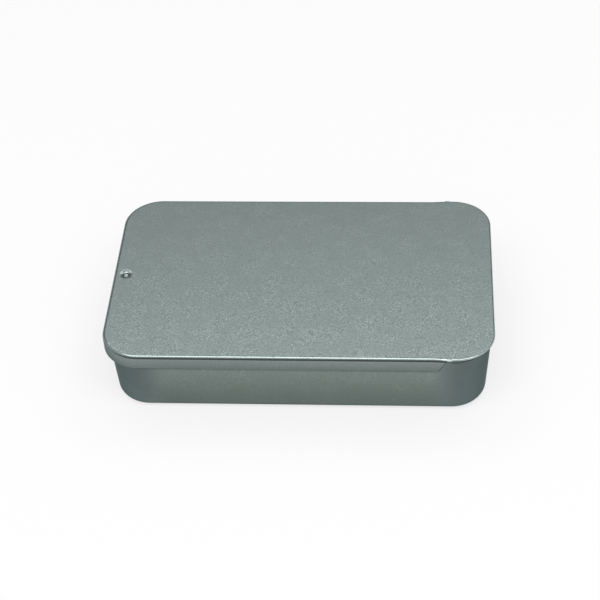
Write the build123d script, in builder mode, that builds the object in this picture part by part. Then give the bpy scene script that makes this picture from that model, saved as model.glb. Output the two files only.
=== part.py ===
from build123d import *
from math import atan2, hypot, tan
import os

# Slide-top mint tin, shut. Millimetres, +Z up, base of the pan on Z = 0.
# X runs along the tin: the lid's skirted end is at -X and its open, hemmed end at +X.
# The origin is under the middle of the lid. The lid opens by sliding towards -X.

# Driving sizes of the whole tin
lid_length = 80.0
lid_width = 50.0
tin_height = 16.0
tinplate = 0.25
overrun = 1.0

# Lid: plate, skirt and the skirt's turned-in lower edge
lid_corner_radius = 8.0
lid_bend_radius = 0.7
skirt_height = 3.5
lip_bend_radius = 0.3
lip_reach = 0.75

# Where the skirt stops short of the open end, and how far its cut end leans
skirt_stop = 9.8
skirt_lean = 1.5

# Hem folded under the plate round the open end, with a little air in the fold, and its two small shoulders
hem_width = 1.2
hem_air = 0.3
hem_edge_flat = 0.02
shoulder_radius = 1.8
shoulder_proud = 0.15
shoulder_gap = 0.85
shoulder_blend = 0.3

# Detent dimple pressed down into the plate at the skirted end
dimple_width = 2.3
dimple_floor_width = 1.8
dimple_depth = 0.65
dimple_from_end = 2.6
dimple_blend = 0.4

# Pan: drawn body, upright collar and the folded rails that carry the lid
pan_corner_radius = 8.0
wall_draft = 3.6
bottom_radius = 1.8
fold_gap = 0.25
rail_showing = 0.5

# Clearances between the lid and the pan
side_clearance = 0.15
top_clearance = 0.2
lip_clearance = 0.1
left_end_gap = 0.8
right_overhang = 0.75

# Heights that both pieces share
hem_thickness = 2 * tinplate + hem_air
hem_edge_radius = (hem_thickness - hem_edge_flat) / 2
plate_underside = tin_height - tinplate
hem_bottom = tin_height - hem_thickness
skirt_bottom = tin_height - skirt_height
pan_height = hem_bottom - top_clearance
rail_bottom = skirt_bottom + tinplate + lip_clearance

# The slanted line in the XZ plane where the skirt, and the rail behind it, end
skirt_top_x = lid_length / 2 - skirt_stop
skirt_top_z = tin_height - lid_bend_radius
lean_slope = skirt_lean / (skirt_top_z - skirt_bottom)

# Plan of the pan's collar
rail_outer_y = lid_width / 2 - tinplate - side_clearance
wall_outer_y = rail_outer_y - tinplate - fold_gap
pan_left_x = -lid_length / 2 + tinplate + left_end_gap
pan_right_x = lid_length / 2 - right_overhang
pan_length = pan_right_x - pan_left_x
pan_width = 2 * wall_outer_y
pan_middle_x = (pan_left_x + pan_right_x) / 2


def slant_x(top_x, z):
    """X of the slanted end line at height z, for a piece that ends at top_x under the plate's bend."""
    return top_x - lean_slope * (skirt_top_z - z)


# The hollow inside the lid's skirted shell, one sheet in from the outside
with BuildPart() as lid_hollow:
    with BuildSketch(Plane.XY.offset(skirt_bottom + tinplate)):
        RectangleRounded(lid_length - 2 * tinplate, lid_width - 2 * tinplate, lid_corner_radius - tinplate)
    extrude(amount=skirt_height - 2 * tinplate)
    fillet(lid_hollow.faces().sort_by(Axis.Z)[-1].edges(), radius=lid_bend_radius - tinplate)

# The skirted shell: plate, bend, skirt and turned-in lip, cut off along the slant at its open end
with BuildPart() as skirted_shell:
    with BuildSketch(Plane.XY.offset(skirt_bottom)):
        RectangleRounded(lid_length, lid_width, lid_corner_radius)
    extrude(amount=skirt_height)
    fillet(skirted_shell.faces().sort_by(Axis.Z)[-1].edges(), radius=lid_bend_radius)
    fillet(skirted_shell.faces().sort_by(Axis.Z)[0].edges(), radius=lip_bend_radius)
    add(lid_hollow.part, mode=Mode.SUBTRACT)
    with BuildSketch(Plane.XY.offset(skirt_bottom - overrun)):
        RectangleRounded(lid_length - 2 * lip_reach, lid_width - 2 * lip_reach, lid_corner_radius - lip_reach)
    extrude(amount=overrun + tinplate, mode=Mode.SUBTRACT)
    with BuildSketch(Plane.XZ) as open_end:
        with BuildLine():
            Polyline(
                (slant_x(skirt_top_x, skirt_bottom - overrun), skirt_bottom - overrun),
                (skirt_top_x, skirt_top_z),
                (skirt_top_x, tin_height + overrun),
                (lid_length / 2 + overrun, tin_height + overrun),
                (lid_length / 2 + overrun, skirt_bottom - overrun),
                close=True,
            )
        make_face()
    extrude(amount=lid_width, both=True, mode=Mode.SUBTRACT)

# The open end of the plate: its rounded edge is as thick as the hem, where the sheet is folded under
with BuildPart() as hemmed_end:
    with BuildSketch(Plane.XY.offset(hem_bottom)) as end_outline:
        RectangleRounded(lid_length, lid_width, lid_corner_radius)
        shoulder_x = skirt_top_x + shoulder_gap
        shoulder_y = lid_width / 2 + shoulder_proud - shoulder_radius
        with Locations((shoulder_x, shoulder_y), (shoulder_x, -shoulder_y)):
            Circle(shoulder_radius)
        inner_corners = end_outline.vertices().filter_by(
            lambda corner: abs(hypot(corner.X - shoulder_x, abs(corner.Y) - shoulder_y) - shoulder_radius)
            < shoulder_blend / 10
        )
        fillet(inner_corners, radius=shoulder_blend)
        with Locations((skirt_top_x, 0)):
            Rectangle(lid_length, lid_width, align=(Align.MAX, Align.CENTER), mode=Mode.SUBTRACT)
    extrude(amount=hem_thickness)
    flat_faces = hemmed_end.faces().filter_by(Axis.Z)
    rim_edges = flat_faces.edges().filter_by(lambda edge: edge.center().X > skirt_top_x + hem_edge_radius)
    fillet(rim_edges, radius=hem_edge_radius)
    with BuildSketch(Plane.XY.offset(hem_bottom - overrun)):
        RectangleRounded(
            lid_length - 2 * hem_width,
            lid_width - 2 * hem_width,
            lid_corner_radius - hem_width,
        )
    extrude(amount=overrun + hem_thickness - tinplate, mode=Mode.SUBTRACT)

# The lid is one sheet: the skirted shell and the hemmed end join, and the dimple is pressed in
with BuildPart() as slide_lid:
    add(skirted_shell.part)
    add(hemmed_end.part)
    dimple_x = -lid_length / 2 + dimple_from_end
    dimple_slope = atan2(dimple_depth, (dimple_width - dimple_floor_width) / 2)
    sheet_shift = tinplate * tan(dimple_slope / 2)
    with Locations((dimple_x, 0, plate_underside)):
        Cone(
            bottom_radius=dimple_floor_width / 2 + sheet_shift,
            top_radius=dimple_width / 2 + sheet_shift,
            height=dimple_depth,
            align=(Align.CENTER, Align.CENTER, Align.MAX),
        )
    with Locations((dimple_x, 0, tin_height)):
        Cone(
            bottom_radius=dimple_floor_width / 2,
            top_radius=dimple_width / 2,
            height=dimple_depth,
            align=(Align.CENTER, Align.CENTER, Align.MAX),
            mode=Mode.SUBTRACT,
        )
    recess_wall = slide_lid.faces().filter_by(GeomType.CONE).sort_by(Axis.Z)[-1]
    fillet(recess_wall.edges().filter_by(GeomType.CIRCLE), radius=dimple_blend)

# One rail: the top of a long wall folded outwards and down, standing off the wall by the fold's gap
fold_radius = tinplate + fold_gap / 2
fold_y = wall_outer_y + fold_gap / 2
fold_z = pan_height - fold_radius
rail_top_x = skirt_top_x + rail_showing
with BuildPart() as side_rail:
    with BuildSketch(Plane.YZ) as fold_section:
        with Locations((fold_y, fold_z)):
            Circle(fold_radius)
        with Locations((fold_y, rail_bottom)):
            Rectangle(2 * fold_radius, fold_z - rail_bottom, align=(Align.CENTER, Align.MIN))
        with Locations((fold_y, fold_z)):
            Circle(fold_gap / 2, mode=Mode.SUBTRACT)
        with Locations((fold_y, rail_bottom)):
            Rectangle(fold_gap, fold_z - rail_bottom, align=(Align.CENTER, Align.MIN), mode=Mode.SUBTRACT)
    extrude(amount=rail_top_x, both=True)
    with BuildSketch(Plane.XZ) as slanted_ends:
        low_x = slant_x(rail_top_x, rail_bottom)
        high_x = slant_x(rail_top_x, pan_height)
        with BuildLine():
            Polyline((-low_x, rail_bottom), (-high_x, pan_height), (high_x, pan_height), (low_x, rail_bottom),
                     close=True)
        make_face()
    extrude(amount=lid_width, both=True, mode=Mode.INTERSECT)


def drawn_shape(inset, top_z):
    """The pan's outer shape, or its hollow one sheet in: a collar up to top_z over a drafted body."""
    body_depth = skirt_bottom - inset
    outline_length = pan_length - 2 * inset
    outline_width = pan_width - 2 * inset
    body_plane = Plane(origin=(pan_middle_x, 0, skirt_bottom), x_dir=(1, 0, 0), z_dir=(0, 0, -1))
    collar_plane = Plane(origin=(pan_middle_x, 0, skirt_bottom))
    with BuildPart() as shape:
        with BuildSketch(body_plane):
            RectangleRounded(outline_length, outline_width, pan_corner_radius - inset)
        extrude(amount=body_depth, taper=wall_draft)
        with BuildSketch(collar_plane):
            RectangleRounded(outline_length, outline_width, pan_corner_radius - inset)
        extrude(amount=top_z - skirt_bottom)
        fillet(shape.faces().sort_by(Axis.Z)[0].edges(), radius=bottom_radius - inset)
    return shape.part


# The pan: drawn from one sheet, its long walls' tops folded outwards into the two rails
with BuildPart() as base_pan:
    add(drawn_shape(0, pan_height))
    add(drawn_shape(tinplate, pan_height + overrun), mode=Mode.SUBTRACT)
    with BuildSketch(Plane.XZ) as fold_relief:
        relief_x = slant_x(rail_top_x, fold_z)
        relief_top_x = slant_x(rail_top_x, pan_height + overrun)
        with BuildLine():
            Polyline((-relief_x, fold_z), (-relief_top_x, pan_height + overrun),
                     (relief_top_x, pan_height + overrun), (relief_x, fold_z), close=True)
        make_face()
    extrude(amount=lid_width, both=True, mode=Mode.SUBTRACT)
    add(side_rail.part)
    mirror(side_rail.part, about=Plane.XZ)

slide_lid.part.label = "slide_lid"
base_pan.part.label = "base_pan"

os.makedirs("parts", exist_ok=True)
export_step(slide_lid.part, "parts/slide_lid.step")
export_step(base_pan.part, "parts/base_pan.step")

for piece in (slide_lid.part, base_pan.part):
    box = piece.bounding_box()
    print(f"{piece.label}: {len(piece.solids())} solid, {piece.volume:.1f} mm3, "
          f"X {box.min.X:.2f} to {box.max.X:.2f}, Y {box.min.Y:.2f} to {box.max.Y:.2f}, "
          f"Z {box.min.Z:.2f} to {box.max.Z:.2f}")
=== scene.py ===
# %% [markdown]
# # A slide-top mint tin in matte tinplate
#
# The tin is two pressings. The pan is drawn from one sheet, and the tops of its long walls are folded
# outwards into rails. The lid is one stamped sheet whose skirt is turned in under those rails, so it slides
# off endways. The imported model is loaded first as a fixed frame, and every size below is in its coordinates:
# metres, +X along the tin towards the lid's open end, +Z up.

# %% Load the frame
from math import atan2, cos, pi, radians, sin, tan

import bpy
import bmesh
from mathutils import Matrix, Vector


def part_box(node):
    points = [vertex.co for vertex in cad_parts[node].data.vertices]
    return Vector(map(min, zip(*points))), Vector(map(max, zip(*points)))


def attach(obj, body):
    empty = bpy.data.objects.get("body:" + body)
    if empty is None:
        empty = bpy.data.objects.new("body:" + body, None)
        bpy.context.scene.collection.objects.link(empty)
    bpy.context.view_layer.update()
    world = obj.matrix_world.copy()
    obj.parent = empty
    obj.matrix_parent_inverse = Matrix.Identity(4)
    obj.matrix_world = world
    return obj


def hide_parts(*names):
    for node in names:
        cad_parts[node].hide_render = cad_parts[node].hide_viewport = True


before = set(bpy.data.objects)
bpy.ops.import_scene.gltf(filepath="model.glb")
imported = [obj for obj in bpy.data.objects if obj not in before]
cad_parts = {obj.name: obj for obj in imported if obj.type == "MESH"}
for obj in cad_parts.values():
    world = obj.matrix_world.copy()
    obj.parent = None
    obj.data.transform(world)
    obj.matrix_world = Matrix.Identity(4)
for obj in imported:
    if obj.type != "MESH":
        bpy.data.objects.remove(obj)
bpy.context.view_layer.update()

# %% [markdown]
# ## Sizes
#
# The sheet is 0.25 mm tinplate. The outside sizes are read from the CAD nodes, so the looks can't drift from
# the frame, and the small forms, such as bends, hems and the dimple, have the values that the pressing tools
# would.

# %% Sizes of the two pressings
MM = 0.001
lid_low, lid_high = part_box("slide_lid")
pan_low, pan_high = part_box("base_pan")

sheet = 0.25 * MM
# The lid's box takes in its shoulders, which stand proud of it, so its own width is given
shoulder_proud = 0.15 * MM
lid_length = lid_high.x - lid_low.x
lid_width = 50.0 * MM
lid_top = lid_high.z
skirt_bottom = lid_low.z
skirt_height = lid_top - skirt_bottom
lid_corner_radius = 8.0 * MM
lid_bend_radius = 0.7 * MM

fold_gap = 0.25 * MM
fold_radius = sheet + fold_gap / 2
pan_length = pan_high.x - pan_low.x
pan_width = pan_high.y - pan_low.y - 2 * (sheet + fold_gap)
pan_height = pan_high.z
pan_middle_x = (pan_high.x + pan_low.x) / 2
pan_corner_radius = 8.0 * MM
wall_draft = radians(3.6)
corner_steps = 24
print("lid", [round(v / MM, 2) for v in (lid_length, lid_width, skirt_height)])
print("pan", [round(v / MM, 2) for v in (pan_length, pan_width, pan_height)])

# %% [markdown]
# ## A small helper for every node tree
#
# Shader trees and geometry trees are both built from nodes with settings and links. One function adds a node,
# sets its properties, and fills its inputs: a socket is linked, a list of sockets is linked to one input that
# takes many, and a plain value is written into the input.

# %% Add a node, and start and end a tree
def add_node(tree, kind, inputs=None, **settings):
    """Add a node to a tree with its settings, and link or set its inputs."""
    node = tree.nodes.new(kind)
    for name, value in settings.items():
        setattr(node, name, value)
    for key, value in (inputs or {}).items():
        if isinstance(value, bpy.types.NodeSocket):
            tree.links.new(value, node.inputs[key])
        elif isinstance(value, list):
            for socket in value:
                tree.links.new(socket, node.inputs[key])
        else:
            node.inputs[key].default_value = value
    return node


def new_tree(name, sockets):
    """Start a geometry tree with named inputs and one Geometry output, and return it with its inputs."""
    tree = bpy.data.node_groups.new(name, "GeometryNodeTree")
    for socket_name, kind in sockets.items():
        tree.interface.new_socket(socket_name, in_out="INPUT", socket_type="NodeSocket" + kind)
    tree.interface.new_socket("Geometry", in_out="OUTPUT", socket_type="NodeSocketGeometry")
    return tree, tree.nodes.new("NodeGroupInput").outputs


def end_tree(tree, geometry, finish):
    """End a geometry tree: copies made real, the finish set, and the result put out."""
    real = add_node(tree, "GeometryNodeRealizeInstances", {"Geometry": geometry})
    finished = add_node(tree, "GeometryNodeSetMaterial", {"Geometry": real.outputs[0], "Material": finish})
    add_node(tree, "NodeGroupOutput", {"Geometry": finished.outputs[0]})
    print(tree.name, len(tree.nodes), "nodes in all")


# %% [markdown]
# ## Section curves
#
# A press bends sheet round the radius of its tool, so a section through the tin is straight runs joined by
# arcs. Writing every point by hand would hide the radii. Instead each corner is given with its radius, and
# one function turns it into an arc. X is the inset from the outline, and Y the drop below the top.

# %% Turn corners with radii into a section
def round_corners(corners):
    """Points along a section whose corners are (inset, drop, radius, steps); radius 0 keeps the corner."""
    points = []
    for index, (x, y, radius, steps) in enumerate(corners):
        corner = Vector((x, y))
        if radius == 0:
            points.append(corner)
            continue
        before = (Vector(corners[index - 1][:2]) - corner).normalized()
        after = (Vector(corners[(index + 1) % len(corners)][:2]) - corner).normalized()
        half_angle = before.angle(after) / 2
        centre = corner + (before + after).normalized() * (radius / sin(half_angle))
        tangent = radius / tan(half_angle)
        start = corner + before * tangent - centre
        end = corner + after * tangent - centre
        sweep = atan2(start.x * end.y - start.y * end.x, start.dot(end))
        for step in range(steps + 1):
            points.append(centre + Matrix.Rotation(sweep * step / steps, 2) @ start)
    return points


def section_curve(name, *runs, closed=False):
    """A curve object with one poly spline for each run of points."""
    curve = bpy.data.curves.new(name, "CURVE")
    curve.dimensions = "3D"
    for points in runs:
        spline = curve.splines.new("POLY")
        spline.points.add(len(points) - 1)
        for spline_point, point in zip(spline.points, points):
            spline_point.co = (point[0], point[1], 0.0, 1.0)
        spline.use_cyclic_u = closed
    section = bpy.data.objects.new(name, curve)
    bpy.context.scene.collection.objects.link(section)
    return section


# %% [markdown]
# ## A tree that presses a sheet
#
# Pan, lid shell and hem are the same idea: a section carried round a rounded rectangle, with a flat in the
# middle. Modelling each by hand would repeat that work, so one Geometry Nodes tree does it. An inner group
# draws the outline, Curve to Mesh carries the section round it, and Fill Curve closes the upper and lower
# flats. Where the flat has a dimple, its section is carried round a small circle in the same way.

# %% The outline group
outline_group, ask = new_tree(
    "rounded_outline", {"Length": "Float", "Width": "Float", "Radius": "Float", "Steps": "Int"}
)
rectangle = add_node(
    outline_group, "GeometryNodeCurvePrimitiveQuadrilateral", {"Width": ask["Length"], "Height": ask["Width"]}
)
rounded = add_node(
    outline_group,
    "GeometryNodeFilletCurve",
    {"Curve": rectangle.outputs[0], "Radius": ask["Radius"], "Count": ask["Steps"], "Limit Radius": True},
    mode="POLY",
)
clockwise = add_node(outline_group, "GeometryNodeReverseCurve", {"Curve": rounded.outputs[0]})
upright = add_node(outline_group, "GeometryNodeSetCurveNormal", {"Curve": clockwise.outputs[0]}, mode="Z_UP")
add_node(outline_group, "NodeGroupOutput", {"Geometry": upright.outputs[0]})
print(outline_group.name, len(outline_group.nodes), "nodes")

# %% The turning tree
turning, ask = new_tree(
    "turned_form",
    {
        "Section": "Geometry",
        "Radius": "Float",
        "Steps": "Int",
        "Weld Distance": "Float",
        "Finish": "Material",
    },
)
circle = add_node(
    turning, "GeometryNodeCurvePrimitiveCircle", {"Resolution": ask["Steps"], "Radius": ask["Radius"]}
)
clockwise = add_node(turning, "GeometryNodeReverseCurve", {"Curve": circle.outputs[0]})
upright = add_node(turning, "GeometryNodeSetCurveNormal", {"Curve": clockwise.outputs[0]}, mode="Z_UP")
turned = add_node(
    turning, "GeometryNodeCurveToMesh", {"Curve": upright.outputs[0], "Profile Curve": ask["Section"]}
)
outward = add_node(turning, "GeometryNodeFlipFaces", {"Mesh": turned.outputs[0]})
welded = add_node(
    turning, "GeometryNodeMergeByDistance", {"Geometry": outward.outputs[0], "Distance": ask["Weld Distance"]}
)
end_tree(turning, welded.outputs[0], ask["Finish"])

# %% The pressing tree: the wall and the dimple
pressing, ask = new_tree(
    "pressed_sheet",
    {
        "Section": "Geometry",
        "Length": "Float",
        "Width": "Float",
        "Radius": "Float",
        "Steps": "Int",
        "Flat Height": "Float",
        "Sheet": "Float",
        "Middle X": "Float",
        "Top Height": "Float",
        "Dimple": "Object",
        "Weld Distance": "Float",
        "Finish": "Material",
    },
)
path = add_node(pressing, "GeometryNodeGroup", node_tree=outline_group)
for name in ("Length", "Width", "Radius", "Steps"):
    pressing.links.new(ask[name], path.inputs[name])
wall = add_node(
    pressing, "GeometryNodeCurveToMesh", {"Curve": path.outputs[0], "Profile Curve": ask["Section"]}
)
# The wall and the dimple are welded first, so that the only open edges left are the rims of the two flats
wall_out = add_node(pressing, "GeometryNodeFlipFaces", {"Mesh": wall.outputs[0]})
dimple_in = add_node(pressing, "GeometryNodeObjectInfo", {"Object": ask["Dimple"]})
walls = add_node(
    pressing, "GeometryNodeJoinGeometry", {"Geometry": [wall_out.outputs[0], dimple_in.outputs["Geometry"]]}
)
closed_walls = add_node(
    pressing, "GeometryNodeMergeByDistance", {"Geometry": walls.outputs[0], "Distance": ask["Weld Distance"]}
)
print(pressing.name, len(pressing.nodes), "nodes for the wall and the dimple")

# %% The pressing tree: the open rims
faces_beside = add_node(pressing, "GeometryNodeInputMeshEdgeNeighbors")
is_rim = add_node(
    pressing,
    "FunctionNodeCompare",
    {"A": faces_beside.outputs[0], "B": 1},
    data_type="INT",
    operation="EQUAL",
)
where = add_node(pressing, "GeometryNodeInputPosition")
height = add_node(pressing, "ShaderNodeSeparateXYZ", {"Vector": where.outputs[0]})
lower_height = add_node(
    pressing, "ShaderNodeMath", {0: ask["Flat Height"], 1: ask["Sheet"]}, operation="SUBTRACT"
)
middle_height = add_node(
    pressing, "ShaderNodeMath", {0: ask["Sheet"], 1: -0.5, 2: ask["Flat Height"]}, operation="MULTIPLY_ADD"
)
is_high = add_node(
    pressing,
    "FunctionNodeCompare",
    {"A": height.outputs["Z"], "B": middle_height.outputs[0]},
    operation="GREATER_THAN",
)
upper_rim = add_node(
    pressing, "FunctionNodeBooleanMath", {0: is_rim.outputs[0], 1: is_high.outputs[0]}, operation="AND"
)
lower_rim = add_node(
    pressing, "FunctionNodeBooleanMath", {0: is_rim.outputs[0], 1: is_high.outputs[0]}, operation="NIMPLY"
)

# %% The pressing tree: the two flats
flats = []
for rim, flat_height in ((upper_rim, ask["Flat Height"]), (lower_rim, lower_height.outputs[0])):
    loops = add_node(
        pressing, "GeometryNodeMeshToCurve", {"Mesh": closed_walls.outputs[0], "Selection": rim.outputs[0]}
    )
    flat = add_node(pressing, "GeometryNodeFillCurve", {"Curve": loops.outputs[0]}, mode="NGONS")
    flat_place = add_node(pressing, "ShaderNodeCombineXYZ", {"Z": flat_height})
    placed_flat = add_node(
        pressing,
        "GeometryNodeTransform",
        {"Geometry": flat.outputs[0], "Translation": flat_place.outputs[0]},
    )
    flats.append(placed_flat)
facing_down = add_node(pressing, "GeometryNodeFlipFaces", {"Mesh": flats[1].outputs[0]})
all_faces = add_node(
    pressing,
    "GeometryNodeJoinGeometry",
    {"Geometry": [closed_walls.outputs[0], flats[0].outputs[0], facing_down.outputs[0]]},
)
welded = add_node(
    pressing,
    "GeometryNodeMergeByDistance",
    {"Geometry": all_faces.outputs[0], "Distance": ask["Weld Distance"]},
)
place = add_node(pressing, "ShaderNodeCombineXYZ", {"X": ask["Middle X"], "Z": ask["Top Height"]})
placed = add_node(
    pressing, "GeometryNodeTransform", {"Geometry": welded.outputs[0], "Translation": place.outputs[0]}
)
end_tree(pressing, placed.outputs[0], ask["Finish"])


# %% Run a tree and keep its mesh
def run_tree(name, tree, source, inputs):
    """Run a tree on an object, and return its result as a plain mesh object called name."""
    modifier = source.modifiers.new(tree.name, "NODES")
    modifier.node_group = tree
    for item in tree.interface.items_tree:
        if item.name in inputs:
            modifier[item.identifier] = inputs[item.name]
    bpy.context.view_layer.update()
    evaluated = source.evaluated_get(bpy.context.evaluated_depsgraph_get())
    mesh = bpy.data.meshes.new_from_object(evaluated)
    source.modifiers.remove(modifier)
    bpy.data.objects.remove(source)
    piece = bpy.data.objects.new(name, mesh)
    bpy.context.scene.collection.objects.link(piece)
    return piece


def place_copies(piece, places):
    """Put a copy of the piece's own faces at each place, in its mesh."""
    copies = bmesh.new()
    for place in places:
        start = len(copies.verts)
        copies.from_mesh(piece.data)
        copies.verts.ensure_lookup_table()
        bmesh.ops.translate(copies, verts=copies.verts[start:], vec=place)
    copies.to_mesh(piece.data)
    copies.free()


def check_shell(piece):
    """Print a piece's faces, its volume, and how many of its edges are open."""
    shell = bmesh.new()
    shell.from_mesh(piece.data)
    open_edges = sum(len(edge.link_faces) != 2 for edge in shell.edges)
    loose = sum(not vert.link_faces for vert in shell.verts)
    volume = shell.calc_volume(signed=True) / MM ** 3
    print(
        f"{piece.name}: {len(shell.faces)} faces, {volume:.1f} mm3, "
        f"{open_edges} open edges, {loose} loose points"
    )
    shell.free()


def print_box(piece):
    """Print the low and the high corner of a piece's box, in mm."""
    for corner in (piece.bound_box[0], piece.bound_box[6]):
        print(piece.name, [round(value / MM, 3) for value in corner])


# %% [markdown]
# ## The lid's skirted shell
#
# The flat plate bends down into the skirt, and the skirt's lower edge is turned in to run under the rails.
# The dimple is a small round dent at the skirted end, whose underside clicks over the pan's rim. Both
# sections run from the upper flat round to the lower one, so the sheet has its real thickness everywhere. A
# box with a Bevel and a Solidify modifier would be quicker, but it would give every bend the same radius.

# %% Section of the shell
lip_reach = 0.75 * MM
lip_bend_radius = 0.3 * MM
flat_inset = 0.8 * MM
inner_bend_radius = lid_bend_radius - sheet
inner_lip_radius = lip_bend_radius - sheet
# A short straight beside each outer bend, and the round that shearing leaves on a cut edge
straight = 0.04 * MM
cut_round = 0.06 * MM
shell_section = round_corners(
    [
        (flat_inset, 0, 0, 0),
        (lid_bend_radius + straight, 0, 0, 0),
        (0, 0, lid_bend_radius, 14),
        (0, lid_bend_radius + straight, 0, 0),
        (0, skirt_height - lip_bend_radius - straight, 0, 0),
        (0, skirt_height, lip_bend_radius, 8),
        (lip_reach, skirt_height, cut_round, 4),
        (lip_reach, skirt_height - sheet, cut_round, 4),
        (sheet, skirt_height - sheet, inner_lip_radius, 4),
        (sheet, sheet, inner_bend_radius, 8),
        (flat_inset, sheet, 0, 0),
    ]
)
print("shell section:", len(shell_section), "points")

# %% Sections of the dimple
dimple_from_end = 2.6 * MM
dimple_hole = 1.6 * MM
dimple_depth = 0.65 * MM
# A wide soft edge, a short steep side and a flat floor, each corner with its own bend
upper_corners = [
    (0, 0, 0, 0),
    (dimple_hole - 1.1 * MM, 0, 1.25 * MM, 14),
    (dimple_hole - 0.7 * MM, 0.3 * MM, 0.35 * MM, 6),
    (dimple_hole - 0.52 * MM, dimple_depth, 0.4 * MM, 8),
    (dimple_hole, dimple_depth, 0, 0),
]
# The underside runs one sheet below: a bend round its side is tighter by a sheet, and the others are wider
lower_corners = [(0, sheet, 0, 0)]
for before, corner, after in zip(upper_corners, upper_corners[1:], upper_corners[2:]):
    x, y, radius, steps = corner
    run_in = Vector((x - before[0], y - before[1])).normalized()
    run_out = Vector((after[0] - x, after[1] - y)).normalized()
    down = run_in.orthogonal() + run_out.orthogonal()
    down *= sheet / (1 + run_in.dot(run_out))
    deeper = run_in.x * run_out.y > run_in.y * run_out.x
    lower_corners.append((x + down.x, y + down.y, radius - sheet if deeper else radius + sheet, steps))
lower_corners.append((dimple_hole, dimple_depth + sheet, 0, 0))
dimple_upper = round_corners(upper_corners)
dimple_lower = round_corners(lower_corners)
for x, y, radius, steps in lower_corners:
    print(f"underside corner {x / MM:.3f} in, {y / MM:.3f} mm down, radius {radius / MM:.2f} mm")
print("dimple sections:", len(dimple_upper) + len(dimple_lower), "points")

# %% Turn the dimple
bare_tin = bpy.data.materials.new("tinplate_for_modelling")
weld = 0.004 * MM
dimple = run_tree(
    "dimple",
    turning,
    section_curve("dimple_section", list(reversed(dimple_upper)), dimple_lower),
    {"Radius": dimple_hole, "Steps": 48, "Weld Distance": weld, "Finish": bare_tin},
)
place_copies(dimple, [(lid_low.x + dimple_from_end, 0, 0)])
print("dimple:", len(dimple.data.polygons), "faces, open at its rim until it is welded in")

# %% Press the shell
# The hem, the shoulders and the pan are pressed from these sizes too, each with its own in place of some
lid_sizes = {
    "Length": lid_length,
    "Width": lid_width,
    "Radius": lid_corner_radius,
    "Steps": corner_steps,
    "Flat Height": 0.0,
    "Sheet": sheet,
    "Middle X": 0.0,
    "Top Height": lid_top,
    "Weld Distance": weld,
    "Finish": bare_tin,
}
shell = run_tree(
    "skirted_shell",
    pressing,
    section_curve("shell_section", shell_section),
    {**lid_sizes, "Dimple": dimple},
)
check_shell(shell)
print_box(shell)

# %% [markdown]
# ## The open end: cutters, hem and shoulders
#
# Past the skirt the plate has nothing to stiffen it, so its edge is folded under, with a little air in the
# fold: a hem, round at its edge. Where the skirt's cut end meets the hem, the metal swells into a small
# shoulder, which ends in a step. Joining them by hand would mean matching the points of two rims. Instead the
# shell is cut off along a slanted line, the hem is cut to start there, and a Boolean joins them into one
# closed shell.

# %% Cutters
skirt_top_x = 30.2 * MM
skirt_top_z = lid_top - lid_bend_radius
skirt_lean = 1.5 * MM
lean_slope = skirt_lean / (skirt_top_z - skirt_bottom)
beyond = 1.0 * MM


def slant_x(top_x, z):
    """X of the slanted end line at height z, for a piece that ends at top_x under the plate's bend."""
    return top_x - lean_slope * (skirt_top_z - z)


def side_prism(name, profile):
    """A block with this outline in X and Z that reaches across the whole tin, to cut with."""
    mesh = bpy.data.meshes.new(name)
    block = bmesh.new()
    near = [block.verts.new((x, -lid_width, z)) for x, z in profile]
    far = [block.verts.new((x, lid_width, z)) for x, z in profile]
    block.faces.new(near)
    block.faces.new(reversed(far))
    for index in range(len(profile)):
        after = (index + 1) % len(profile)
        block.faces.new((near[index], far[index], far[after], near[after]))
    bmesh.ops.recalc_face_normals(block, faces=block.faces)
    block.to_mesh(mesh)
    block.free()
    prism = bpy.data.objects.new(name, mesh)
    bpy.context.scene.collection.objects.link(prism)
    return prism


open_end_cutter = side_prism(
    "open_end_cutter",
    [
        (slant_x(skirt_top_x, skirt_bottom - beyond), skirt_bottom - beyond),
        (skirt_top_x, skirt_top_z),
        (skirt_top_x, lid_top + beyond),
        (lid_high.x + beyond, lid_top + beyond),
        (lid_high.x + beyond, skirt_bottom - beyond),
    ],
)
skirted_end_cutter = side_prism(
    "skirted_end_cutter",
    [
        (lid_low.x - beyond, skirt_bottom),
        (skirt_top_x, skirt_bottom),
        (skirt_top_x, lid_top + beyond),
        (lid_low.x - beyond, lid_top + beyond),
    ],
)
check_shell(open_end_cutter)
check_shell(skirted_end_cutter)

# %% Hem
hem_width = 1.2 * MM
hem_thickness = 0.8 * MM
hem_edge_radius = 0.39 * MM
hem_inner_radius = hem_edge_radius - sheet
hem_flat_inset = hem_width + 0.4 * MM
hem_section = round_corners(
    [
        (hem_flat_inset, 0, 0, 0),
        (hem_edge_radius + straight, 0, 0, 0),
        (0, 0, hem_edge_radius, 12),
        (0, hem_thickness, hem_edge_radius, 12),
        (hem_edge_radius + straight, hem_thickness, 0, 0),
        (hem_width, hem_thickness, cut_round, 4),
        (hem_width, hem_thickness - sheet, cut_round, 4),
        (sheet, hem_thickness - sheet, hem_inner_radius, 6),
        (sheet, sheet, hem_inner_radius, 6),
        (hem_flat_inset, sheet, 0, 0),
    ]
)
hem = run_tree("hem", pressing, section_curve("hem_section", hem_section), lid_sizes)
check_shell(hem)

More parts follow.
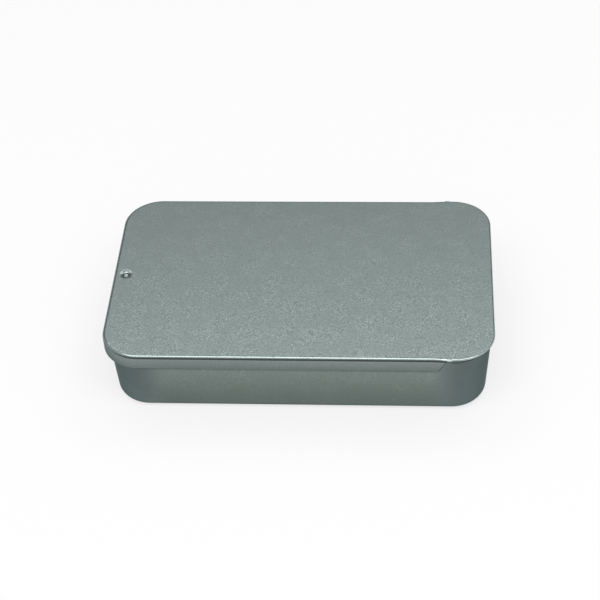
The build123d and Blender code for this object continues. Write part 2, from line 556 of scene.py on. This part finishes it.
# %% Shoulders
# Each is the corner of a small pressed block, solid through the hem, which pokes 0.15 mm past the lid's side
shoulder_end_x = skirt_top_x + 1.3 * MM
shoulder_length = 2.5 * MM
shoulder_width = 1.3 * MM
shoulder_corner_radius = 0.45 * MM
shoulder_section = round_corners(
    [
        (hem_edge_radius + straight, 0, 0, 0),
        (0, 0, hem_edge_radius, 12),
        (0, hem_thickness, hem_edge_radius, 12),
        (hem_edge_radius + straight, hem_thickness, 0, 0),
    ]
)
shoulders = run_tree(
    "shoulders",
    pressing,
    section_curve("shoulder_section", shoulder_section),
    {
        **lid_sizes,
        "Length": shoulder_length,
        "Width": shoulder_width,
        "Radius": shoulder_corner_radius,
        "Steps": 10,
        "Sheet": hem_thickness,
        "Top Height": 0.0,
    },
)
shoulder_x = shoulder_end_x - shoulder_length / 2
shoulder_y = lid_width / 2 + shoulder_proud - shoulder_width / 2
place_copies(shoulders, [(shoulder_x, side * shoulder_y, lid_top) for side in (-1, 1)])
check_shell(shoulders)

# %% The trimming and joining tree
joinery, ask = new_tree(
    "trim_and_join", {"Pressing": "Geometry", "Cutter": "Object", "Addition": "Object", "Finish": "Material"}
)
cutter = add_node(joinery, "GeometryNodeObjectInfo", {"Object": ask["Cutter"]})
addition = add_node(joinery, "GeometryNodeObjectInfo", {"Object": ask["Addition"]})
trimmed = add_node(
    joinery,
    "GeometryNodeMeshBoolean",
    {"Mesh 1": ask["Pressing"], "Mesh 2": cutter.outputs["Geometry"]},
    operation="DIFFERENCE",
    solver="EXACT",
)
joined = add_node(
    joinery,
    "GeometryNodeMeshBoolean",
    {"Mesh 2": [trimmed.outputs[0], addition.outputs["Geometry"]]},
    operation="UNION",
    solver="EXACT",
)
end_tree(joinery, joined.outputs[0], ask["Finish"])

# %% Join the lid
shouldered_hem = run_tree("shouldered_hem", joinery, hem, {"Addition": shoulders, "Finish": bare_tin})
hemmed_end = run_tree(
    "hemmed_end", joinery, shouldered_hem, {"Cutter": skirted_end_cutter, "Finish": bare_tin}
)
check_shell(hemmed_end)
lid = run_tree(
    "lid_pressing", joinery, shell, {"Cutter": open_end_cutter, "Addition": hemmed_end, "Finish": bare_tin}
)
check_shell(lid)
print_box(lid)

# %% [markdown]
# ## The swell at the shoulders
#
# Over its last 3 mm the skirt's bend runs outwards to meet the shoulder. A lattice could pull it out, but its
# two sides would have to be kept alike by eye. A rule that moves points does both sides at once. The long
# faces have no points there, so rows of points are cut in first.

# %% Swell the skirt towards its shoulders
swell_start = skirt_top_x - 3.0 * MM
swell_end = skirt_top_x - 0.05 * MM
swell_rows = 14
swell_inner_y = lid_width / 2 - 1.2 * MM
swell_outer_y = lid_width / 2 - 0.2 * MM
swell_bottom = skirt_bottom + 1.2 * MM
# So near to a plane, a point counts as on it, and so near to the last row, as in it
on_plane = 0.0001 * MM
in_row = 0.001 * MM


def smooth_step(value, start, end):
    """0 before start, 1 after end and a smooth rise between them."""
    t = min(max((value - start) / (end - start), 0.0), 1.0)
    return t * t * (3 - 2 * t)


swelling = bmesh.new()
swelling.from_mesh(lid.data)
for row in range(swell_rows + 1):
    row_x = swell_start + (swell_end - swell_start) * row / swell_rows
    bmesh.ops.bisect_plane(
        swelling,
        geom=swelling.verts[:] + swelling.edges[:] + swelling.faces[:],
        dist=on_plane,
        plane_co=(row_x, 0, 0),
        plane_no=(1, 0, 0),
    )
moved = 0
for vert in swelling.verts:
    side = 1 if vert.co.y > 0 else -1
    if vert.co.x <= swell_end + in_row and abs(vert.co.y) <= lid_width / 2 + on_plane:
        along = smooth_step(vert.co.x, swell_start, swell_end)
        outwards = smooth_step(abs(vert.co.y), swell_inner_y, swell_outer_y)
        upwards = smooth_step(vert.co.z, swell_bottom, skirt_top_z)
        push = shoulder_proud * along * outwards * upwards
        vert.co.y += side * push
        moved += push > 0
swelling.to_mesh(lid.data)
swelling.free()
print("swell moved", moved, "points")
check_shell(lid)

# %% [markdown]
# ## The pan
#
# The pan is drawn: a punch pushes the sheet into a die, which leaves a flat bottom, a round bottom edge and
# walls that lean in a little so that the pan comes off the punch. The collar at the top is upright. A tapered
# box could be bevelled and hollowed, but the change from collar to wall would be lost, so the same pressing
# tree makes the pan from its own section.

# %% Press the pan
bottom_radius = 1.8 * MM
collar_depth = pan_height - skirt_bottom
foot_inset = skirt_bottom * tan(wall_draft)
inner_foot_inset = sheet + (skirt_bottom - sheet) * tan(wall_draft)
pan_flat_inset = 3.0 * MM
collar_bend_radius = 2.0 * MM
rim_round = 0.08 * MM
pan_section = round_corners(
    [
        (pan_flat_inset, pan_height - sheet, 0, 0),
        (inner_foot_inset, pan_height - sheet, bottom_radius - sheet, 12),
        (sheet, collar_depth, collar_bend_radius, 3),
        (sheet, 0, rim_round, 4),
        (0, 0, rim_round, 4),
        (0, collar_depth, collar_bend_radius, 3),
        (foot_inset, pan_height, bottom_radius, 14),
        (pan_flat_inset, pan_height, 0, 0),
    ]
)
pan_skin = run_tree(
    "pan_skin",
    pressing,
    section_curve("pan_section", pan_section),
    {
        **lid_sizes,
        "Length": pan_length,
        "Width": pan_width,
        "Radius": pan_corner_radius,
        "Flat Height": sheet - pan_height,
        "Middle X": pan_middle_x,
        "Top Height": pan_height,
    },
)
check_shell(pan_skin)

# %% [markdown]
# ## The rails
#
# The tops of the long walls are folded outwards and down like a hook. A hook section along a straight line is
# all that this takes, so a small tree carries the section along a line, leans both ends to the slant at which
# the sheet was cut, and turns a copy half round for the other side.

# %% The rail tree
folding, ask = new_tree(
    "folded_rail",
    {
        "Section": "Geometry",
        "Half Length": "Float",
        "Lean": "Float",
        "Lean Height": "Float",
        "Top Height": "Float",
        "Finish": "Material",
    },
)
line_start = add_node(folding, "ShaderNodeCombineXYZ", {"X": ask["Half Length"]})
line_end_x = add_node(folding, "ShaderNodeMath", {0: ask["Half Length"], 1: -1.0}, operation="MULTIPLY")
line_end = add_node(folding, "ShaderNodeCombineXYZ", {"X": line_end_x.outputs[0]})
line = add_node(
    folding, "GeometryNodeCurvePrimitiveLine", {"Start": line_start.outputs[0], "End": line_end.outputs[0]}
)
upright = add_node(folding, "GeometryNodeSetCurveNormal", {"Curve": line.outputs[0]}, mode="Z_UP")
hook = add_node(
    folding,
    "GeometryNodeCurveToMesh",
    {"Curve": upright.outputs[0], "Profile Curve": ask["Section"], "Fill Caps": True},
)
rail_place = add_node(folding, "ShaderNodeCombineXYZ", {"Z": ask["Top Height"]})
raised = add_node(
    folding, "GeometryNodeTransform", {"Geometry": hook.outputs[0], "Translation": rail_place.outputs[0]}
)
where = add_node(folding, "GeometryNodeInputPosition")
axes = add_node(folding, "ShaderNodeSeparateXYZ", {"Vector": where.outputs[0]})
above = add_node(
    folding, "ShaderNodeMath", {0: axes.outputs["Z"], 1: ask["Lean Height"]}, operation="SUBTRACT"
)
side = add_node(folding, "ShaderNodeMath", {0: axes.outputs["X"]}, operation="SIGN")
lean = add_node(folding, "ShaderNodeMath", {0: above.outputs[0], 1: ask["Lean"]}, operation="MULTIPLY")
shift = add_node(folding, "ShaderNodeMath", {0: lean.outputs[0], 1: side.outputs[0]}, operation="MULTIPLY")
shift_x = add_node(folding, "ShaderNodeCombineXYZ", {"X": shift.outputs[0]})
leaned = add_node(
    folding, "GeometryNodeSetPosition", {"Geometry": raised.outputs[0], "Offset": shift_x.outputs[0]}
)
other = add_node(
    folding, "GeometryNodeTransform", {"Geometry": leaned.outputs[0], "Rotation": (0.0, 0.0, pi)}
)
both = add_node(folding, "GeometryNodeJoinGeometry", {"Geometry": [leaned.outputs[0], other.outputs[0]]})
end_tree(folding, both.outputs[0], ask["Finish"])

# %% Fold the rails
rail_showing = 0.5 * MM
rail_top_x = skirt_top_x + rail_showing
lip_clearance = 0.1 * MM
rail_bottom = skirt_bottom + sheet + lip_clearance
fold_y = pan_width / 2 + fold_gap / 2
fold_z = pan_height - fold_radius
fold_steps = 16
over = [pi * step / fold_steps for step in range(fold_steps + 1)]
arch = [Vector((cos(angle), sin(angle))) for angle in over]
outer_arch = [(fold_y - fold_radius * a.x, fold_radius - fold_radius * a.y) for a in arch]
inner_arch = [(fold_y + fold_gap / 2 * a.x, fold_radius - fold_gap / 2 * a.y) for a in arch]
foot_start = fold_radius + 0.1 * MM
foot_end = pan_height - rail_bottom
rail_foot = round_corners(
    [
        (fold_y + fold_radius, foot_start, 0, 0),
        (fold_y + fold_radius, foot_end, cut_round, 3),
        (fold_y + fold_gap / 2, foot_end, cut_round, 3),
        (fold_y + fold_gap / 2, foot_start, 0, 0),
    ]
)
rails = run_tree(
    "rails",
    folding,
    section_curve("rail_section", outer_arch + rail_foot + inner_arch, closed=True),
    {
        "Half Length": rail_top_x,
        "Lean": lean_slope,
        "Lean Height": skirt_top_z,
        "Top Height": pan_height,
        "Finish": bare_tin,
    },
)
check_shell(rails)

# %% Join the pan
relief_cutter = side_prism(
    "relief_cutter",
    [
        (-slant_x(rail_top_x, fold_z), fold_z),
        (slant_x(rail_top_x, fold_z), fold_z),
        (slant_x(rail_top_x, pan_height + beyond), pan_height + beyond),
        (-slant_x(rail_top_x, pan_height + beyond), pan_height + beyond),
    ],
)
pan = run_tree(
    "pan_drawing", joinery, pan_skin, {"Cutter": relief_cutter, "Addition": rails, "Finish": bare_tin}
)
check_shell(pan)
print_box(pan)

# %% [markdown]
# ## Smooth bends, crisp edges
#
# The finished meshes are shaded smooth, with every edge sharper than a bend's steps kept crisp. Flat runs
# have a row of points beside each bend, so their normals stay straight and the flats look flat. More faces
# would do that too, but they would make the files heavier.

# %% Shade the pressings
merge_distance = 0.0005 * MM
crisp_angle = radians(34)


def finish_shading(piece):
    """Merge a joined mesh's double points, drop a face that this sets loose, and shade it smooth."""
    shell = bmesh.new()
    shell.from_mesh(piece.data)
    bmesh.ops.remove_doubles(shell, verts=shell.verts, dist=merge_distance)
    strays = [face for face in shell.faces if all(edge.is_boundary for edge in face.edges)]
    bmesh.ops.delete(shell, geom=strays, context="FACES")
    bmesh.ops.recalc_face_normals(shell, faces=shell.faces)
    shell.to_mesh(piece.data)
    shell.free()
    piece.data.shade_smooth()
    piece.data.set_sharp_from_angle(angle=crisp_angle)


for piece in (lid, pan):
    finish_shading(piece)
    check_shell(piece)

# %% [markdown]
# ## Matte tinplate
#
# Tinplate is thin steel with a coat of tin. This sheet has a stone finish: the rolls that press it are ground
# with a stone, and its tin isn't melted to a shine, so it looks matte and grey with a fine sparkling grain.
# It is bare metal, so Metallic is 1 and the colour is the colour of its reflection, and its grain spreads
# that reflection, so the roughness is about 0.3 on the lid and 0.4 on the drawn pan. A picture could give the
# grain, but noise on Object coordinates needs no file and has a real size everywhere.
#
# Pressing leaves its marks. The die rubs the grain off where it drew the metal, and the metal there is
# smoother: down the skirt, down the pan's wall and most of all round the pan's corners. These places are also
# darkened with painted shade. Painted shade also makes a narrow dark line just under the lid's bend, darkens
# the skirt's slanted cut end and a ring in the dimple's wall, and lays faint shadows on the pan under the
# lid's lip and hem.
# Painted highlights brighten the crown of the lid's bend and the dimple. Each mark is a share between 0 and 1,
# found from the height or the place on the piece. That share says how far the mark's own tone is laid on, and
# the tones of all the marks are multiplied.

# %% Colours from hex
def linear(hex_colour):
    """An sRGB hex colour as linear RGBA."""
    channels = [int(hex_colour[start:start + 2], 16) / 255 for start in (0, 2, 4)]
    light = [c / 12.92 if c <= 0.04045 else ((c + 0.055) / 1.055) ** 2.4 for c in channels]
    return (*light, 1.0)


# %% Start a finish: coordinates in millimetres
def start_finish(name):
    """A new material, its empty tree, and its Object coordinates in mm: as a vector, and as X, Y and Z."""
    material = bpy.data.materials.new(name)
    material.use_nodes = True
    tree = material.node_tree
    tree.nodes.clear()
    place = add_node(tree, "ShaderNodeTexCoord")
    in_mm = add_node(
        tree, "ShaderNodeMapping", {"Vector": place.outputs["Object"], "Scale": (1 / MM, 1 / MM, 1 / MM)}
    )
    axes = add_node(tree, "ShaderNodeSeparateXYZ", {"Vector": in_mm.outputs[0]})
    return material, tree, in_mm.outputs[0], axes.outputs


# %% Marks on the metal, multiplied
def multiply_marks(tree, *marks):
    """Multiply marks, each (value, start, end, low, high): low up to start, high from end, smooth between."""
    result = 1.0
    for value, start, end, low, high in marks:
        mark = add_node(
            tree,
            "ShaderNodeMapRange",
            {"Value": value, "From Min": start, "From Max": end, "To Min": low, "To Max": high},
            interpolation_type="SMOOTHSTEP",
        )
        product = add_node(tree, "ShaderNodeMath", {0: mark.outputs[0], 1: result}, operation="MULTIPLY")
        result = product.outputs[0]
    return result


# %% Grain and sparkle
def grain_and_sparkle(tree, in_mm, grain_left):
    """The shares of bright tin and of sparkle, the grain itself, and how much of it is left at each place."""
    # The real grain is 0.05 to 0.1 mm; it is drawn 0.3 mm wide, the finest that shows at this distance
    grain = add_node(
        tree, "ShaderNodeTexNoise", {"Vector": in_mm, "Scale": 3.3, "Detail": 2.0, "Roughness": 0.5}
    )
    # Faint patches 4 mm wide with more or less grain, as the photograph shows
    patches = add_node(
        tree, "ShaderNodeTexNoise", {"Vector": in_mm, "Scale": 0.25, "Detail": 2.0, "Roughness": 0.5}
    )
    grain_here = multiply_marks(
        tree, (patches.outputs["Fac"], 0.35, 0.65, 0.35, 1.15), (grain_left, 0.0, 1.0, 0.0, 1.0)
    )
    # Sparkle: crystals of tin that face the light, about one in six, drawn 0.35 mm wide, and a few pits
    crystals = add_node(tree, "ShaderNodeTexVoronoi", {"Vector": in_mm, "Scale": 2.9, "Randomness": 1.0})
    crystal_tint = add_node(tree, "ShaderNodeSeparateColor", {"Color": crystals.outputs["Color"]})
    sparkle = multiply_marks(
        tree,
        (crystal_tint.outputs[0], 0.7, 1.0, 0.0, 1.0),
        (crystals.outputs["Distance"], 0.5, 0.15, 0.0, 1.0),
        (grain_here, 0.0, 1.0, 0.0, 0.6),
    )
    grain_share = multiply_marks(
        tree, (grain.outputs["Fac"], 0.3, 0.7, 0.0, 1.0), (crystal_tint.outputs[1], 0.0, 0.25, 0.0, 1.0)
    )
    even_share = add_node(
        tree, "ShaderNodeMix", {"Factor": grain_here, "A": 0.5, "B": grain_share}, data_type="FLOAT"
    )
    patch_share = multiply_marks(tree, (patches.outputs["Fac"], 0.3, 0.7, -0.06, 0.06))
    tin_share = add_node(
        tree, "ShaderNodeMath", {0: even_share.outputs[0], 1: patch_share}, operation="ADD", use_clamp=True
    )
    return tin_share.outputs[0], sparkle, grain.outputs["Fac"], grain_here


# %% The stone-finish tinplate
crystal_face = linear("C6D0CC")
grazing_tint = linear("B4BCBA")


def stone_finish_tinplate(tree, in_mm, dull, bright, roughness, grain_depth, tone, grain_left):
    """Fill a tree with matte tinplate, its colour multiplied by tone and its grain by grain_left."""
    tin_share, sparkle, grain, grain_here = grain_and_sparkle(tree, in_mm, grain_left)
    tin = add_node(
        tree,
        "ShaderNodeMix",
        {"Factor": tin_share, 6: linear(dull), 7: linear(bright)},
        data_type="RGBA",
    )
    lit_tin = add_node(
        tree, "ShaderNodeMix", {"Factor": sparkle, 6: tin.outputs[2], 7: crystal_face}, data_type="RGBA"
    )
    toned = add_node(tree, "ShaderNodeVectorMath", {0: lit_tin.outputs[2], 1: tone}, operation="MULTIPLY")
    gloss = multiply_marks(tree, (grain, 0.3, 0.7, roughness + 0.04, roughness - 0.04))
    relief_share = add_node(tree, "ShaderNodeMath", {0: grain, 1: grain_here}, operation="MULTIPLY")
    relief = add_node(
        tree, "ShaderNodeBump", {"Height": relief_share.outputs[0], "Strength": 1.0, "Distance": grain_depth}
    )
    shader = add_node(
        tree,
        "ShaderNodeBsdfPrincipled",
        {
            "Base Color": toned.outputs[0],
            "Metallic": 1.0,
            "Roughness": gloss,
            "Specular Tint": grazing_tint,
            "Normal": relief.outputs[0],
        },
    )
    add_node(tree, "ShaderNodeOutputMaterial", {"Surface": shader.outputs[0]})


# %% The lid's painted marks: a dark line under the bend and shade at the cut end
lid_tinplate, tree, in_mm, axes = start_finish("lid_stone_finish_tinplate")
z_mm = lid_top / MM
bend_foot = z_mm - lid_bend_radius / MM
end_mm = lid_low.x / MM
# The width over which a mark with an edge fades in
fade = 0.1
# A narrow band of painted shade under the bend, kept off the dimple and fainter round the skirted end
line_low = bend_foot - 0.12
line_high = bend_foot + 0.38
dimple_place = (end_mm + dimple_from_end / MM, 0.0, z_mm)
dimple_way = add_node(tree, "ShaderNodeVectorMath", {0: in_mm, 1: dimple_place}, operation="DISTANCE")
dimple_rim = 1.75
painted_dark_line = multiply_marks(
    tree,
    (axes["Z"], line_low, line_low + fade, 0.0, 1.0),
    (axes["Z"], line_high, line_high - fade, 0.0, 1.0),
    (dimple_way.outputs["Value"], dimple_rim, dimple_rim + fade, 0.0, 1.0),
    (axes["X"], end_mm + 1.0, end_mm + 9.0, 0.5, 1.0),
)
# Painted shade along the skirt's slanted cut end, where the gap beside the rail lies in shade
end_x = add_node(
    tree,
    "ShaderNodeMath",
    {0: axes["Z"], 1: -lean_slope, 2: lean_slope * skirt_top_z / MM - skirt_top_x / MM},
    operation="MULTIPLY_ADD",
)
before_end = add_node(tree, "ShaderNodeMath", {0: axes["X"], 1: end_x.outputs[0]}, operation="ADD")
painted_end_shade = multiply_marks(
    tree,
    (before_end.outputs[0], -0.35, -0.25, 0.0, 1.0),
    (axes["Z"], z_mm - 0.75, z_mm - 0.65, 1.0, 0.0),
)
print(lid_tinplate.name, len(tree.nodes), "nodes for the line and the end")

# %% The lid's painted marks: a highlight on the crown and shade in the dimple
# A painted highlight on the crown of the bend
painted_crown_highlight = multiply_marks(
    tree,
    (axes["Z"], line_high - fade, line_high, 0.0, 1.0),
    (axes["Z"], z_mm - 0.02, z_mm - 0.1, 0.0, 1.0),
    (dimple_way.outputs["Value"], dimple_rim, dimple_rim + fade, 0.0, 1.0),
)
# A ring of painted shade down the dimple's wall
painted_dimple_shade = multiply_marks(
    tree,
    (axes["Z"], z_mm - 0.56, z_mm - 0.48, 0.0, 1.0),
    (axes["Z"], z_mm - 0.25, z_mm - 0.33, 0.0, 1.0),
    (dimple_way.outputs["Value"], 1.7, 1.5, 0.0, 1.0),
)
# In the photograph the crown is brighter round the open end, and brightest on its shoulders
shoulder_mm = skirt_top_x / MM
crown_highlight_tone = multiply_marks(
    tree,
    (axes["X"], shoulder_mm - 1.5, shoulder_mm + 0.5, 1.38, 2.4),
    (axes["X"], shoulder_mm + 1.3, shoulder_mm + 2.0, 1.0, 0.78),
)
print(lid_tinplate.name, len(tree.nodes), "nodes with the crown and the dimple")

# %% The lid's finish
# All of these, a painted highlight in the dimple, and painted shade on the skirt, darker towards its lower
# edge
lid_tone = multiply_marks(
    tree,
    (painted_crown_highlight, 0.0, 1.0, 1.0, crown_highlight_tone),
    (painted_dark_line, 0.0, 1.0, 1.0, 0.24),
    (painted_dimple_shade, 0.0, 1.0, 1.0, 0.42),
    (painted_end_shade, 0.0, 1.0, 1.0, 0.6),
    (dimple_way.outputs["Value"], 1.3, 1.5, 1.3, 1.0),
    (axes["Z"], bend_foot - 0.6, bend_foot + 0.2, 0.8, 1.0),
    (axes["Z"], skirt_bottom / MM, bend_foot - 0.5, 0.75, 1.0),
)
# Bending stretches the grain away, and in the photograph it fades towards the far side
lid_grain_left = multiply_marks(
    tree,
    (axes["Z"], z_mm - 0.1, z_mm - 0.02, 0.3, 1.0),
    (dimple_way.outputs["Value"], 1.3, 1.7, 0.2, 1.0),
    (axes["Y"], -26.0, 16.0, 1.0, 0.45),
)
stone_finish_tinplate(tree, in_mm, "7A8684", "9BA7A4", 0.29, 0.003 * MM, lid_tone, lid_grain_left)
print(lid_tinplate.name, len(tree.nodes), "nodes in all")

# %% The pan's marks
pan_tinplate, tree, in_mm, axes = start_finish("pan_drawn_tinplate")
# How far a point lies into a corner: over both of the two lines where the corner arcs start
beside_x = add_node(tree, "ShaderNodeMath", {0: axes["X"], 1: -pan_middle_x / MM}, operation="ADD")
half_x = add_node(tree, "ShaderNodeMath", {0: beside_x.outputs[0]}, operation="ABSOLUTE")
half_y = add_node(tree, "ShaderNodeMath", {0: axes["Y"]}, operation="ABSOLUTE")
arc_x = (pan_length / 2 - pan_corner_radius) / MM
arc_y = (pan_width / 2 - pan_corner_radius) / MM
in_corner = multiply_marks(
    tree,
    (half_x.outputs[0], arc_x - 6.0, arc_x + 3.0, 0.0, 1.0),
    (half_y.outputs[0], arc_y - 3.0, arc_y + 3.0, 0.0, 1.0),
)
# Faint lines of painted shadow on the wall: under the lid's lip, and under its hem
lip_mm = skirt_bottom / MM
painted_lip_shadow = multiply_marks(
    tree,
    (axes["Z"], lip_mm - 1.2, lip_mm - 1.2 + fade, 0.0, 1.0),
    (axes["Z"], lip_mm - 0.7, lip_mm - 0.7 - fade, 0.0, 1.0),
    (axes["X"], end_mm + 6.0, end_mm + 9.0, 0.0, 1.0),
    (axes["X"], shoulder_mm - 1.6, shoulder_mm - 2.2, 0.0, 1.0),
)
painted_hem_shadow = multiply_marks(
    tree,
    (axes["Z"], pan_height / MM - 1.2, pan_height / MM - 1.0, 0.0, 1.0),
    (axes["X"], rail_top_x / MM, rail_top_x / MM + 1.0, 0.0, 1.0),
)
print(pan_tinplate.name, len(tree.nodes), "nodes for the marks")

# %% The pan's finish
# Painted shade on the wall changes between its foot, 0.5 mm up, and the lid's lip: darker at the foot, but
# lighter there round the corners
wall_foot = 0.5
foot_shade_tone = multiply_marks(tree, (in_corner, 0.0, 1.0, 0.68, 1.12))
# Painted shade darkens the pan's corners, and the painted shadows under the lid's lip and hem are laid on here
pan_tone = multiply_marks(
    tree,
    (in_corner, 0.0, 1.0, 1.0, 0.62),
    (axes["Z"], wall_foot, lip_mm, foot_shade_tone, 1.0),
    (painted_lip_shadow, 0.0, 1.0, 1.0, 0.8),
    (painted_hem_shadow, 0.0, 1.0, 1.0, 0.72),
)
pan_grain_left = multiply_marks(
    tree,
    (in_corner, 0.0, 1.0, 1.0, 0.15),
    (axes["Z"], wall_foot, lip_mm, 0.3, 0.5),
)
# The corners are a bluer grey, perhaps steel showing through tin that drawing has thinned
corner_tint = add_node(
    tree,
    "ShaderNodeMix",
    {"Factor": in_corner, 6: (1.0, 1.0, 1.0, 1.0), 7: (0.96, 1.0, 1.06, 1.0)},
    data_type="RGBA",
)
pan_tone_tinted = add_node(
    tree, "ShaderNodeVectorMath", {0: corner_tint.outputs[2], "Scale": pan_tone}, operation="SCALE"
)
stone_finish_tinplate(
    tree, in_mm, "737F7A", "8B9792", 0.42, 0.005 * MM, pan_tone_tinted.outputs[0], pan_grain_left
)
print(pan_tinplate.name, len(tree.nodes), "nodes in all")

# %% Finish the lid and the pan
for piece, finish in ((lid, lid_tinplate), (pan, pan_tinplate)):
    piece.data.materials.clear()
    piece.data.materials.append(finish)
    print(piece.name, "is", finish.name, "on", len(piece.data.polygons), "faces")

# %% [markdown]
# ## Put the pressings on their bodies
#
# Each pressing stands for its CAD node and rides on that node's body, so it moves when the joint does. The
# helpers and cutters have done their work and are removed.

# %% Ride and replace
for helper in (dimple, shoulders, hemmed_end, rails, open_end_cutter, skirted_end_cutter, relief_cutter):
    bpy.data.objects.remove(helper)
for piece, body, node, slot in (
    (lid, "lid", "slide_lid", "lid_tinplate"),
    (pan, "pan", "base_pan", "pan_tinplate"),
):
    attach(piece, body)
    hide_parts(node)
    print(piece.name, "rides on", body, "in place of", node)

# %% [markdown]
# ## Floor, light and camera
#
# A plain white board carries the tin. Matte metal shows the light round it rather than its own colour, so the
# light is a studio's: a large softbox overhead, slightly to the front, and an even room. Only the wall behind
# the tin, which the lid's top mirrors for the camera, is dim low down and bright halfway up. The camera looks
# down at 42 degrees through a long lens, as the photograph's does.

# %% Floor
floor_mesh = bpy.data.meshes.new("floor_board")
floor_half = 3.0
# A hair below the pan, so that the two flat faces don't lie in one plane
floor_z = -0.02 * MM
floor_mesh.from_pydata(
    [(x * floor_half, y * floor_half, floor_z) for x, y in ((-1, -1), (1, -1), (1, 1), (-1, 1))],
    [],
    [(0, 1, 2, 3)],
)
floor = bpy.data.objects.new("floor_board", floor_mesh)
bpy.context.scene.collection.objects.link(floor)
board = bpy.data.materials.new("matte_white_board")
board.use_nodes = True
tree = board.node_tree
tree.nodes.clear()
painted = add_node(
    tree,
    "ShaderNodeBsdfPrincipled",
    {"Base Color": linear("F6F6F6"), "Roughness": 0.9, "Specular IOR Level": 0.0},
)
# The camera and the metal see the board lit up to white by seven tenths, so its shadow stays faint
lit_share = 0.7
white = add_node(tree, "ShaderNodeEmission", {"Color": (1.0, 1.0, 1.0, 1.0), "Strength": 1.0})
ray = add_node(tree, "ShaderNodeLightPath")
seen = add_node(
    tree,
    "ShaderNodeMath",
    {0: ray.outputs["Is Camera Ray"], 1: ray.outputs["Is Glossy Ray"]},
    operation="ADD",
)
seen_through = add_node(
    tree, "ShaderNodeMath", {0: seen.outputs[0], 1: ray.outputs["Is Transmission Ray"]}, operation="ADD"
)
lit_up = add_node(
    tree, "ShaderNodeMath", {0: seen_through.outputs[0], 1: lit_share}, operation="MULTIPLY", use_clamp=True
)
shown = add_node(
    tree, "ShaderNodeMixShader", {0: lit_up.outputs[0], 1: painted.outputs[0], 2: white.outputs[0]}
)
add_node(tree, "ShaderNodeOutputMaterial", {"Surface": shown.outputs[0]})
floor_mesh.materials.append(board)
print("floor", 2 * floor_half, "m across,", round(floor_z / MM, 3), "mm high")

# %% Room
room = bpy.data.worlds.new("studio_room")
room.use_nodes = True
room.node_tree.nodes.clear()
direction = add_node(room.node_tree, "ShaderNodeTexCoord")
upward = add_node(room.node_tree, "ShaderNodeSeparateXYZ", {"Vector": direction.outputs["Generated"]})
glow = add_node(room.node_tree, "ShaderNodeValToRGB", {"Fac": upward.outputs["Z"]})
room_strength = 2.4
# The light of the wall behind the tin at each elevation in degrees
wall_light = (
    (0, 0.34),
    (20, 0.28),
    (29, 0.22),
    (36, 0.40),
    (42, 0.97),
    (48, 1.76),
    (54, 2.22),
    (60, 1.0),
    (66, 0.4),
    (90, 0.4),
)
ramp = glow.color_ramp
while len(ramp.elements) < len(wall_light):
    ramp.elements.new(0.5)
for stop, (elevation, radiance) in zip(ramp.elements, wall_light):
    stop.position = sin(radians(elevation))
for stop, (elevation, radiance) in zip(ramp.elements, wall_light):
    level = radiance / room_strength
    stop.color = (level, level, level, 1.0)
# The rest of the room is even
even_light = 0.5
behind = add_node(
    room.node_tree,
    "ShaderNodeMapRange",
    {"Value": upward.outputs["Y"], "From Min": 0.1, "From Max": 0.3},
    interpolation_type="SMOOTHSTEP",
)
even_level = even_light / room_strength
even_grey = (even_level, even_level, even_level, 1.0)
room_light = add_node(
    room.node_tree,
    "ShaderNodeMix",
    {"Factor": behind.outputs[0], 6: even_grey, 7: glow.outputs["Color"]},
    data_type="RGBA",
)
sky = add_node(
    room.node_tree, "ShaderNodeBackground", {"Color": room_light.outputs[2], "Strength": room_strength}
)
add_node(room.node_tree, "ShaderNodeOutputWorld", {"Surface": sky.outputs[0]})
bpy.context.scene.world = room
print("room:", len(ramp.elements), "levels behind the tin, and", even_light, "elsewhere")

# %% Softbox
softbox_data = bpy.data.lights.new("overhead_softbox", "AREA")
softbox_data.shape = "RECTANGLE"
softbox_data.size = 1.35
softbox_data.size_y = 0.5
softbox_data.energy = 5.3
softbox = bpy.data.objects.new("overhead_softbox", softbox_data)
bpy.context.scene.collection.objects.link(softbox)
softbox_lean = radians(24)
softbox_place = (0.06, 0, 0.9)
softbox.matrix_world = Matrix.Rotation(softbox_lean, 4, "X") @ Matrix.Translation(softbox_place)
softbox.visible_camera = False
softbox_at = [round(value, 3) for value in softbox.matrix_world.translation]
print("softbox", round(softbox_data.energy, 2), "W at", softbox_at)

# %% Camera
camera_data = bpy.data.cameras.new("camera")
camera_data.sensor_width = 36.0
camera_data.lens = 101.08
camera_data.clip_start = 0.01
camera_data.clip_end = 20.0
camera = bpy.data.objects.new("camera", camera_data)
bpy.context.scene.collection.objects.link(camera)
# Fitted to the photograph's outlines
camera_place = (23.778 * MM, -265.079 * MM, 250.796 * MM)
look_down = radians(42.257)
turn = radians(5.273)
tilt = radians(-3.108)
camera.matrix_world = (
    Matrix.Translation(camera_place)
    @ Matrix.Rotation(turn, 4, "Z")
    @ Matrix.Rotation(pi / 2 - look_down, 4, "X")
    @ Matrix.Rotation(tilt, 4, "Z")
)
bpy.context.scene.camera = camera
bpy.context.scene.view_settings.view_transform = "Standard"
print("camera", round(camera_data.lens, 2), "mm lens at", [round(value, 3) for value in camera_place])
